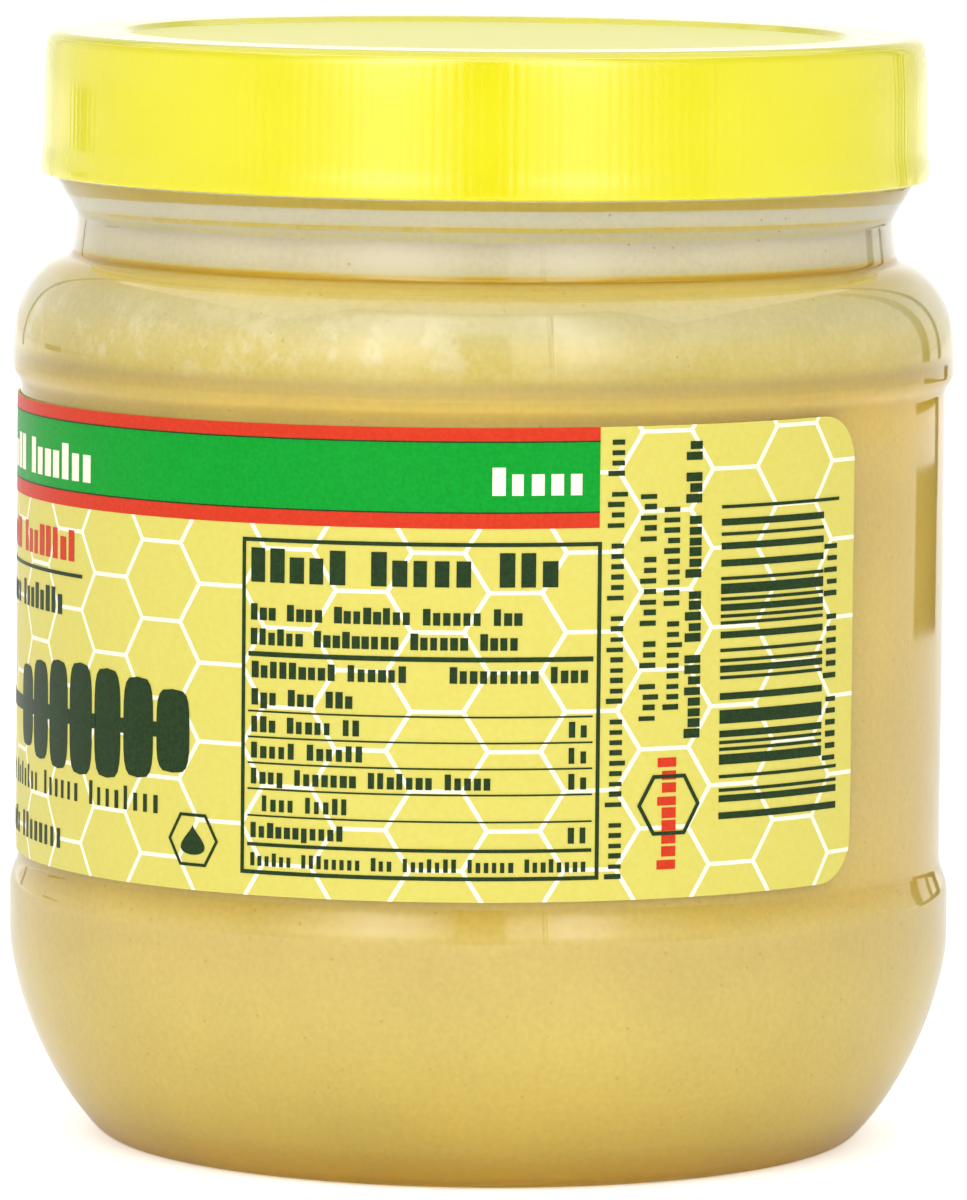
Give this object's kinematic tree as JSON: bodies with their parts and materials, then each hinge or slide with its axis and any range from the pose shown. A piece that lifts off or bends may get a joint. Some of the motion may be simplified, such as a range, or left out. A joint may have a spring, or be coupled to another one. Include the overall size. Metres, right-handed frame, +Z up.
{
  "type": "honey jar",
  "caption": "Wide-mouth clear plastic jar filled with pale creamed honey, with a ribbed yellow screw lid and a yellow honeycomb wrap label with a green band.",
  "frame": {"origin": "centre of the jar's standing ring, on the plane it stands on", "axes": "+Z up along the jar's axis; -Y is the side the picture was taken from, where the right end of the label shows"},
  "size_m": [0.077, 0.077, 0.0904],
  "materials": {
    "clear_pet": "clear blow-moulded PET, glossy",
    "yellow_polypropylene": "moulded, semi-gloss, fine vertical ribs",
    "creamed_honey": "opaque, set, finely grained",
    "printed_paper": "glossy coated paper, printed"
  },
  "bodies": {
    "root": {"jar": "clear_pet", "lid": "yellow_polypropylene", "honey": "creamed_honey", "label": "printed_paper"}
  },
  "joints": []
}
